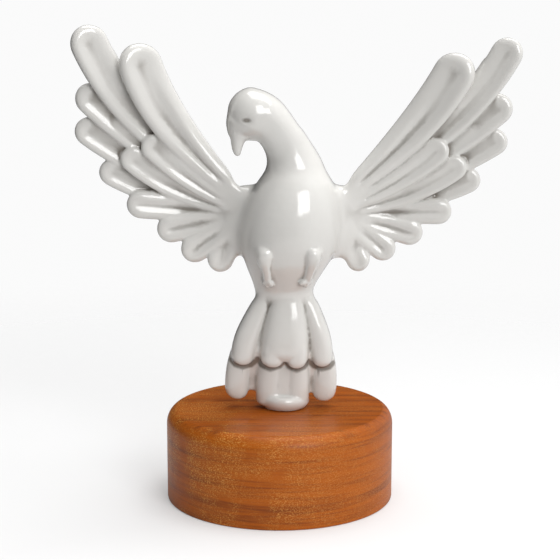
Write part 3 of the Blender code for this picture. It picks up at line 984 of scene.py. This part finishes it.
def cut_mouth(item, share):
    """Press the soft line that parts the beak."""
    def near(width):
        def test(x, y, z):
            away, along = line_distance(x / share, z / share, MOUTH_LINE)
            return away < width * (0.4 + 0.6 * np.sin(np.pi * along))
        return test

    refine(item, near(MOUTH_FINER), 1)
    for width, depth in MOUTH_PRESSES:
        press(item, depth, near(width))
    select_where(item, near(MOUTH_SMOOTHED))
    bpy.ops.mesh.vertices_smooth(factor=0.5, repeat=6)


# How far around the painted shadow bands the surface is made finer, one step after another.
FINER_REACHES = (5.0, 3.2)

# The painted crease shade is lifted off the foot: how far to the front the foot
# starts, its half width, how high it is lightest, how far above that the shade
# comes back, and what is left of the crease shade there.
FOOT_FRONT = 4.0
FOOT_HALF_WIDTH = 12.0
FOOT_HIGH = 9.0
FOOT_FADE = 7.0
FOOT_CREASE = 0.10

# The painted shade around the near eye: how far to the right of the eye it lies,
# how far to the front it starts, its half length and half height, how far it
# reaches by these, and its strength.
SHADE_SHIFT = 0.4
SHADE_FRONT = 5.0
SHADE_HALF = (1.9, 1.15)
SHADE_REACH = 1.5
SHADE_STRENGTH = 0.85


def near_shadow_pool(share, reach):
    """A test for places on the front that lie near a painted shadow band under the tail's upper lobes."""
    def test(x, y, z):
        away = [line_distance(x / share, z / share, line)[0] for line, front in SHADOW_POOLS]
        return (np.min(away, axis=0) < reach) & (y < -2.0 * share)
    return test


def hollow_depth(item):
    """How far each point would come out if the whole were worked smooth."""
    smoothed = copy_of(item, "smoothed copy")
    apply(smoothed, "SMOOTH", factor=0.5, iterations=HOLLOW_ROUNDS)
    normals = np.empty(len(item.data.vertices) * 3)
    item.data.vertices.foreach_get("normal", normals)
    moved = places(smoothed) - places(item)
    bpy.data.objects.remove(smoothed, do_unlink=True)
    return (moved * normals.reshape(-1, 3).T).sum(axis=0)


def evened(item, values):
    """Even out a value between each point and its neighbours."""
    ends = np.empty(len(item.data.edges) * 2, dtype=int)
    item.data.edges.foreach_get("vertices", ends)
    first, second = ends.reshape(-1, 2).T
    count = len(values)
    shared = np.bincount(ends, minlength=count)
    for _ in range(EVENING_ROUNDS):
        around = np.bincount(first, values[second], count) + np.bincount(second, values[first], count)
        values = 0.5 * (values + around / shared)
    return values


def mark_pooling_and_shade(item, share):
    """Keep, for the glaze, how deep each point lies in a hollow, or how near it lies to a band under the
    tail's upper lobes: pooled glaze and painted shade in the hollows, a painted shadow with pooled glaze
    in the bands. The painted shade is lifted off the foot, and painted shade is put round the near eye."""
    for reach in FINER_REACHES:
        refine(item, near_shadow_pool(share, reach), 1)
    bpy.ops.mesh.select_all(action="SELECT")
    bpy.ops.mesh.quads_convert_to_tris()
    leave_edit()
    # Pooled glaze and painted shade in the hollows, by how deep each point lies.
    crease = evened(item, np.clip(hollow_depth(item) / CREASE_DEPTH, -1.0, 1.0))
    x, y, z = places(item) / share
    # A painted shadow, with pooled glaze, in bands under the tail's upper lobes.
    for line, front in SHADOW_POOLS:
        away = line_distance(x, z, line)[0] / SHADOW_POOL_WIDTH
        beside = np.clip(SHADOW_POOL_EDGE * (SHADOW_POOL_REACH - away), 0.0, 1.0)
        behind = np.clip(1.0 - (-y - front), 0.0, 1.0) * (y < 0.0)
        crease = np.maximum(crease, SHADOW_POOL_STRENGTH * beside * behind)
    # The painted crease shade is lifted off the foot.
    on_foot = (y < -FOOT_FRONT) & (np.abs(x) < FOOT_HALF_WIDTH)
    light = np.clip(FOOT_CREASE + (z - FOOT_HIGH) / FOOT_FADE, FOOT_CREASE, 1.0)
    crease = np.minimum(crease, np.where(on_foot, light, 1.0))
    # Painted shade round the near eye, darkest to its right.
    away = np.hypot((x - EYE_MIDDLE[0] - SHADE_SHIFT) / SHADE_HALF[0], (z - EYE_MIDDLE[1]) / SHADE_HALF[1])
    shade = SHADE_STRENGTH * np.clip(SHADE_REACH - away, 0.0, 1.0) * (y < -SHADE_FRONT)
    crease = np.maximum(crease, shade)
    kept = item.data.attributes.new("crease", "FLOAT", "POINT")
    kept.data.foreach_set("value", crease)


def fit_box(item, low, high):
    """Move and size an item, a hair at most, so that it has the height of a
    box and lies within it."""
    own_low = places(item).min(axis=1)
    own_high = places(item).max(axis=1)
    factors = []
    moves = []
    for i in range(3):
        factor = (high[i] - low[i]) / (own_high[i] - own_low[i])
        move = low[i] - own_low[i]
        if i < 2:
            factor = min(1.0, factor)
            new_high = own_low[i] + (own_high[i] - own_low[i]) * factor
            move = max(move, 0.0) + min(high[i] - new_high, 0.0)
        factors.append(factor)
        moves.append(move)
    edit_all(item)
    bpy.ops.transform.resize(value=factors, center_override=own_low)
    bpy.ops.transform.translate(value=moves)
    leave_edit()


def keep_largest(item):
    """Drop the crumbs that come loose where the joined forms barely touch."""
    name = item.name
    edit_all(item)
    bpy.ops.mesh.separate(type="LOOSE")
    leave_edit()
    shells = sorted(bpy.context.selected_objects, key=lambda shell: len(shell.data.vertices))
    for shell in shells[:-1]:
        bpy.data.objects.remove(shell, do_unlink=True)
    shells[-1].name = name
    shells[-1].data.name = name
    return shells[-1]


class DOVE_OT_casting(bpy.types.Operator):
    """Join the forms into one casting, level its foot and glaze it"""

    bl_idname = "dove.casting"
    bl_label = "Join and glaze"

    def execute(self, context):
        sizes = context.scene.dove_sizes
        share = sizes.height / FIGURE_SHARES
        forms = [item for item in bpy.data.objects if item.name.startswith(FORM_PREFIX)]
        if not forms:
            raise RuntimeError("the forms of the dove come first")
        activate(forms[0])
        for item in forms:
            item.select_set(True)
        bpy.ops.object.join()
        dove = bpy.context.object
        dove.name = "dove_casting"
        dove.data.name = "dove_casting"
        edit_all(dove)
        bpy.ops.mesh.normals_make_consistent(inside=False)
        leave_edit()
        apply(dove, "REMESH", mode="VOXEL", voxel_size=sizes.mesh_step)
        dove = keep_largest(dove)
        apply(dove, "SMOOTH", factor=0.5, iterations=sizes.smoothing)
        soften_joins(dove, share)
        faces = sum(len(face.vertices) - 2 for face in dove.data.polygons)
        apply(dove, "DECIMATE", ratio=min(1.0, sizes.face_count / faces))
        for front in (True, False):
            cut_eye(dove, share, front)
        cut_mouth(dove, share)
        leave_edit()
        mark_pooling_and_shade(dove, share)

        foot = PLINTH_BOX[1][2] + sizes.glaze_gap
        edit_all(dove)
        turn(sizes.lean, (0, 0, 0))
        bpy.ops.transform.translate(value=(sizes.across, 0.0, foot))
        bpy.ops.mesh.bisect(plane_co=(0, 0, foot), plane_no=(0, 0, 1), use_fill=True, clear_inner=True)
        leave_edit()
        fit_box(dove, Vector(DOVE_BOX[0]), Vector(DOVE_BOX[1]))
        edit_all(dove)
        bpy.ops.mesh.quads_convert_to_tris()
        leave_edit()
        bpy.ops.object.shade_smooth_by_angle(angle=math.radians(50))
        dove.data.materials.clear()
        dove.data.materials.append(glaze_material(context.scene.glaze_finish))
        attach(dove, "root")
        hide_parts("dove")
        return {"FINISHED"}


# Base

# How much of a quarter turn the rounded top edge makes, its steps and those of
# the foot, and the points around the base.
EDGE_TURN = 0.88
EDGE_STEPS = 14
FOOT_STEPS = 3
BASE_CORNERS = 176


class DOVE_OT_plinth(bpy.types.Operator):
    """Turn the round wooden base"""

    bl_idname = "dove.plinth"
    bl_label = "Turn the base"

    def execute(self, context):
        sizes = context.scene.plinth_sizes
        radius = 0.5 * (PLINTH_BOX[1][0] - PLINTH_BOX[0][0])
        top = PLINTH_BOX[1][2]
        full = 0.5 * math.pi * EDGE_TURN
        profile = [(radius - sizes.foot_break, 0.0)]
        for i in range(1, FOOT_STEPS + 1):
            angle = 0.5 * math.pi * i / FOOT_STEPS
            profile.append((
                radius - sizes.foot_break * (1 - math.sin(angle)), sizes.foot_break * (1 - math.cos(angle))
            ))
        for i in range(EDGE_STEPS + 1):
            angle = full * i / EDGE_STEPS
            inset = sizes.edge_inset * (1.0 - math.cos(angle)) / (1.0 - math.cos(full))
            rise = sizes.edge_drop * math.sin(angle) / math.sin(full)
            profile.append((radius - inset, top - sizes.edge_drop + rise))
        stations = [((0.0, 0.0, up), out, out, 0.0) for out, up in profile]
        plinth = drawn_form("plinth", stations, corners=BASE_CORNERS, smooth_levels=0)
        plinth.name = "turned_base"
        plinth.data.name = "turned_base"
        activate(plinth)
        bpy.ops.object.shade_smooth_by_angle(angle=math.radians(12))
        plinth.data.materials.clear()
        plinth.data.materials.append(wood_material(context.scene.wood_finish))
        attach(plinth, "root")
        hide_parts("plinth")
        return {"FINISHED"}


# Materials

# How a pattern is drawn out along the three axes, a smaller number more: the
# wood's grain on the side and on the top, and its pores.
SIDE_GRAIN = (0.05, 0.03, 1.0)
TOP_GRAIN = (0.05, 1.0, 1.0)
PORE_SHAPE = (0.42, 0.42, 1.0)

# How far below the top of the base the side's grain ends, and the top's is full.
SIDE_GRAIN_END = 0.0034
TOP_GRAIN_START = 0.0004

WHITE = (1.0, 1.0, 1.0, 1.0)


def new_material(name):
    material = bpy.data.materials.new(name)
    material.use_nodes = True
    return material, material.node_tree, material.node_tree.nodes["Principled BSDF"]


def feed(tree, made, inputs):
    """Fill a node's inputs, each from another node's output or with a value."""
    for key, value in inputs.items():
        if isinstance(value, bpy.types.NodeSocket):
            tree.links.new(value, made.inputs[key])
        else:
            made.inputs[key].default_value = value


def node(tree, kind, inputs=None, **settings):
    """Make a node, set it up and then feed it."""
    made = tree.nodes.new(kind)
    for key, value in settings.items():
        setattr(made, key, value)
    feed(tree, made, inputs or {})
    return made


def arithmetic(tree, operation, *values, clamped=False):
    inputs = dict(enumerate(values))
    return node(tree, "ShaderNodeMath", inputs, operation=operation, use_clamp=clamped).outputs["Value"]


def noise(tree, vector, scale, detail, roughness=0.5):
    inputs = {"Vector": vector, "Scale": scale, "Detail": detail, "Roughness": roughness}
    return node(tree, "ShaderNodeTexNoise", inputs).outputs["Fac"]


def remap(tree, value, start, end, low=0.0, high=1.0, kind="SMOOTHSTEP"):
    """Bring a value from one range to another, and hold it there."""
    inputs = {"Value": value, "From Min": start, "From Max": end, "To Min": low, "To Max": high}
    return node(tree, "ShaderNodeMapRange", inputs, interpolation_type=kind).outputs["Result"]


def blend(tree, kind, factor, first, second):
    inputs = {"Factor": factor, "A": first, "B": second}
    return node(tree, "ShaderNodeMix", inputs, data_type=kind).outputs["Result"]


def stretched(tree, vector, scale):
    return node(tree, "ShaderNodeMapping", {"Vector": vector, "Scale": scale}).outputs["Vector"]


def bump(tree, height, strength, distance):
    inputs = {"Height": height, "Strength": strength, "Distance": distance}
    return node(tree, "ShaderNodeBump", inputs).outputs["Normal"]


def new_group(name, **numbers):
    """Start a node group that takes a vector, and numbers with their defaults,
    and puts out a value."""
    tree = bpy.data.node_groups.new(name, "ShaderNodeTree")
    tree.interface.new_socket("Vector", in_out="INPUT", socket_type="NodeSocketVector")
    for key, default in numbers.items():
        socket = tree.interface.new_socket(key, in_out="INPUT", socket_type="NodeSocketFloat")
        socket.default_value = default
    tree.interface.new_socket("Value", in_out="OUTPUT", socket_type="NodeSocketFloat")
    return tree, node(tree, "NodeGroupInput").outputs, node(tree, "NodeGroupOutput")


def place_group(tree, group, **values):
    return node(tree, "ShaderNodeGroup", values, node_tree=group).outputs["Value"]


def mottling_group():
    """Soft blotches of two sizes, as a value about one half."""
    tree = bpy.data.node_groups.get("Soft mottling")
    if tree:
        return tree
    tree, given, leave = new_group("Soft mottling", Scale=60.0)
    finer = arithmetic(tree, "MULTIPLY", given["Scale"], 4.3)
    broad = noise(tree, given["Vector"], given["Scale"], detail=2.0)
    fine = noise(tree, given["Vector"], finer, detail=3.0)
    feed(tree, leave, {"Value": blend(tree, "FLOAT", 0.35, broad, fine)})
    return tree


def grain_group():
    """Long streaks over broader bands, as a value about one half."""
    tree, given, leave = new_group("Wood grain")
    streaks = noise(tree, given["Vector"], scale=800.0, detail=4.0, roughness=0.6)
    bands = noise(tree, given["Vector"], scale=150.0, detail=3.0)
    feed(tree, leave, {"Value": blend(tree, "FLOAT", 0.5, streaks, bands)})
    return tree


def glaze_material(finish):
    """White glaze that is darker where glaze pools and where shade is painted: in the creases, in bands
    under the tail's upper lobes, and round the near eye.
    """
    material, tree, shader = new_material("white porcelain glaze")
    place = node(tree, "ShaderNodeTexCoord").outputs["Object"]
    mottling = place_group(tree, mottling_group(), Vector=place, Scale=70.0)
    # This attribute holds the pooled glaze and the painted shade and shadow that darken the glaze towards
    # the pooled colour.
    crease = node(tree, "ShaderNodeAttribute", attribute_name="crease").outputs["Fac"]
    spread = arithmetic(tree, "MULTIPLY_ADD", mottling, 0.10, -0.03)
    amount = arithmetic(tree, "ADD", remap(tree, crease, 0.15, 1.0), spread, clamped=True)
    ripple = noise(tree, place, scale=260.0, detail=1.0)
    feed(tree, shader, {
        "Base Color": blend(tree, "RGBA", amount, (*finish.clear, 1.0), (*finish.pooled_glaze_and_shade, 1.0)),
        "Roughness": remap(tree, mottling, 0.0, 1.0, low=0.10, high=0.17, kind="LINEAR"),
        "Normal": bump(tree, ripple, strength=0.12, distance=0.0004),
        "IOR": 1.5,
        "Coat Weight": 0.6,
        "Coat Roughness": 0.05,
    })
    return material


def wood_material(finish):
    """Stained and varnished wood whose grain runs along X, on the top and
    round the side. Its light pores show most on the left."""
    material, tree, shader = new_material("stained hardwood")
    place = node(tree, "ShaderNodeTexCoord").outputs["Object"]
    split = node(tree, "ShaderNodeSeparateXYZ", {"Vector": place}).outputs
    top = PLINTH_BOX[1][2]
    group = grain_group()
    side_grain = place_group(tree, group, Vector=stretched(tree, place, SIDE_GRAIN))
    top_grain = place_group(tree, group, Vector=stretched(tree, place, TOP_GRAIN))
    on_top = remap(tree, split["Z"], top - SIDE_GRAIN_END, top - TOP_GRAIN_START)
    grain = blend(tree, "FLOAT", on_top, side_grain, top_grain)
    stain = remap(tree, grain, 0.34, 0.58)
    body = blend(tree, "RGBA", stain, (*finish.dark, 1.0), (*finish.warm, 1.0))
    pores = noise(tree, stretched(tree, place, PORE_SHAPE), scale=3700.0, detail=1.0)
    open_pores = remap(tree, pores, 0.52, 0.64)
    patches = place_group(tree, mottling_group(), Vector=place, Scale=30.0)
    patchy = arithmetic(tree, "MULTIPLY", open_pores, remap(tree, patches, 0.38, 0.56))
    leftward = remap(tree, split["X"], -0.05, 0.03, low=1.0, high=0.3, kind="LINEAR")
    shown = arithmetic(tree, "MULTIPLY", patchy, leftward)
    feed(tree, shader, {
        "Base Color": blend(tree, "RGBA", shown, body, (*finish.fleck, 1.0)),
        "Roughness": remap(tree, grain, 0.0, 1.0, low=0.34, high=0.50, kind="LINEAR"),
        "Normal": bump(tree, open_pores, strength=0.25, distance=0.0003),
        "Specular IOR Level": 0.20,
        "Coat Weight": 0.08,
        "Coat Roughness": 0.22,
    })
    return material


# Stage

# Camera: place, how far it looks down, its focus and its shift to the side in
# the picture's points, how many points the picture is wide, and the sensor's
# width in millimetres.
CAMERA_PLACE = (0.0, -0.670, 0.2254)
CAMERA_DOWN = math.radians(10.83)
CAMERA_FOCUS = 1560.0
CAMERA_SHIFT = 0.4
PICTURE_SIDE = 560
SENSOR_WIDTH = 36.0

# Soft lights: place, and size both ways. Both are aimed at one point.
KEY_LIGHT = ((0.36, -0.80, 0.50), (0.44, 0.52))
TOP_LIGHT = ((0.15, 0.05, 1.2), (0.9, 0.9))
LIGHT_TARGET = (0.0, 0.0, 0.12)


def soft_light(name, place, size, power):
    bpy.ops.object.light_add(type="AREA", location=place)
    light = bpy.context.object
    light.name = name
    light.data.shape = "RECTANGLE"
    light.data.size, light.data.size_y = size
    light.data.energy = power
    aim = Vector(LIGHT_TARGET) - Vector(place)
    light.rotation_euler = aim.to_track_quat("-Z", "Y").to_euler()


def floor_material(settings):
    """A pale floor that fades into the pale background around it. It gives off
    a little light, to the camera alone."""
    material, tree, shader = new_material("plain floor")
    place = node(tree, "ShaderNodeTexCoord").outputs["Object"]
    away = node(tree, "ShaderNodeVectorMath", {0: place}, operation="LENGTH").outputs["Value"]
    seen = node(tree, "ShaderNodeLightPath").outputs["Is Camera Ray"]
    feed(tree, shader, {
        "Base Color": (*settings.floor, 1.0),
        "Roughness": 0.9,
        "Specular IOR Level": 0.1,
        "Emission Color": WHITE,
        "Emission Strength": arithmetic(tree, "MULTIPLY", seen, settings.floor_glow),
        "Alpha": remap(tree, away, 0.16, settings.floor_radius * 0.6, low=1.0, high=0.0),
    })
    return material


def studio_world(settings):
    """A white room to the camera that lights the dove more from the right and
    from above than from the left. What mirrors in it is bright on the right."""
    world = bpy.data.worlds.new("studio")
    world.use_nodes = True
    tree = world.node_tree
    place = node(tree, "ShaderNodeTexCoord").outputs["Generated"]
    split = node(tree, "ShaderNodeSeparateXYZ", {"Vector": place}).outputs
    right = remap(tree, split["X"], -0.6, 0.85, low=0.03, high=0.68)
    up = remap(tree, split["Z"], -0.2, 1.0, low=0.0, high=0.32)
    mirrored = remap(tree, split["X"], 0.0, 0.7, low=0.04, high=0.80)
    seen = node(tree, "ShaderNodeLightPath").outputs
    lit = blend(tree, "FLOAT", seen["Is Glossy Ray"], arithmetic(tree, "ADD", right, up), mirrored)
    shown = blend(tree, "FLOAT", seen["Is Camera Ray"], lit, settings.backdrop)
    feed(tree, tree.nodes["Background"], {"Color": WHITE, "Strength": shown})
    return world


class DOVE_OT_stage(bpy.types.Operator):
    """Lay the floor and set the lights and the camera"""

    bl_idname = "dove.stage"
    bl_label = "Set the stage"

    def execute(self, context):
        settings = context.scene.stage_settings
        deselect_all()
        bpy.ops.mesh.primitive_circle_add(vertices=96, radius=settings.floor_radius, fill_type="NGON")
        floor = bpy.context.object
        floor.name = "floor"
        floor.data.materials.append(floor_material(settings))
        context.scene.world = studio_world(settings)

        soft_light("key softbox", *KEY_LIGHT, settings.key_power)
        soft_light("top softbox", *TOP_LIGHT, settings.top_power)

        bpy.ops.object.camera_add(location=CAMERA_PLACE, rotation=(0.5 * math.pi - CAMERA_DOWN, 0.0, 0.0))
        camera = bpy.context.object
        camera.data.sensor_width = SENSOR_WIDTH
        camera.data.lens = CAMERA_FOCUS / PICTURE_SIDE * SENSOR_WIDTH
        camera.data.shift_x = CAMERA_SHIFT / PICTURE_SIDE
        camera.data.clip_start = 0.01
        context.scene.camera = camera
        context.scene.view_settings.view_transform = "Standard"
        return {"FINISHED"}


# Panel

class DOVE_PT_panel(bpy.types.Panel):
    """Lists the makers and their sizes and colours"""

    bl_idname = "DOVE_PT_panel"
    bl_label = "Porcelain dove"
    bl_space_type = "VIEW_3D"
    bl_region_type = "UI"
    bl_category = "Dove"

    def draw(self, context):
        for label, group, names in PANEL_ROWS:
            box = self.layout.box()
            box.label(text=label)
            for name in names:
                box.operator(name)
            settings = getattr(context.scene, group)
            for key in settings.bl_rna.properties.keys():
                if key not in ("rna_type", "name"):
                    box.prop(settings, key)


PANEL_ROWS = [
    ("Figure", "dove_sizes", ("dove.wings", "dove.body", "dove.tail", "dove.casting")),
    ("Glaze", "glaze_finish", ()),
    ("Base", "plinth_sizes", ("dove.plinth",)),
    ("Wood", "wood_finish", ()),
    ("Stage", "stage_settings", ("dove.stage",)),
]

CLASSES = (
    DoveSizes,
    GlazeFinish,
    PlinthSizes,
    WoodFinish,
    StageSettings,
    DOVE_OT_wings,
    DOVE_OT_body,
    DOVE_OT_tail,
    DOVE_OT_casting,
    DOVE_OT_plinth,
    DOVE_OT_stage,
    DOVE_PT_panel,
)

GROUPS = {
    "dove_sizes": DoveSizes,
    "glaze_finish": GlazeFinish,
    "plinth_sizes": PlinthSizes,
    "wood_finish": WoodFinish,
    "stage_settings": StageSettings,
}


def register():
    for made in CLASSES:
        bpy.utils.register_class(made)
    for name, made in GROUPS.items():
        setattr(bpy.types.Scene, name, PointerProperty(type=made))


def unregister():
    for name in GROUPS:
        delattr(bpy.types.Scene, name)
    for made in reversed(CLASSES):
        bpy.utils.unregister_class(made)


def main():
    register()
    bpy.ops.dove.wings()
    bpy.ops.dove.body()
    bpy.ops.dove.tail()
    bpy.ops.dove.casting()
    bpy.ops.dove.plinth()
    bpy.ops.dove.stage()


def plain(box):
    return [[float(value) for value in corner] for corner in box]


if __name__ == "__main__":
    main()
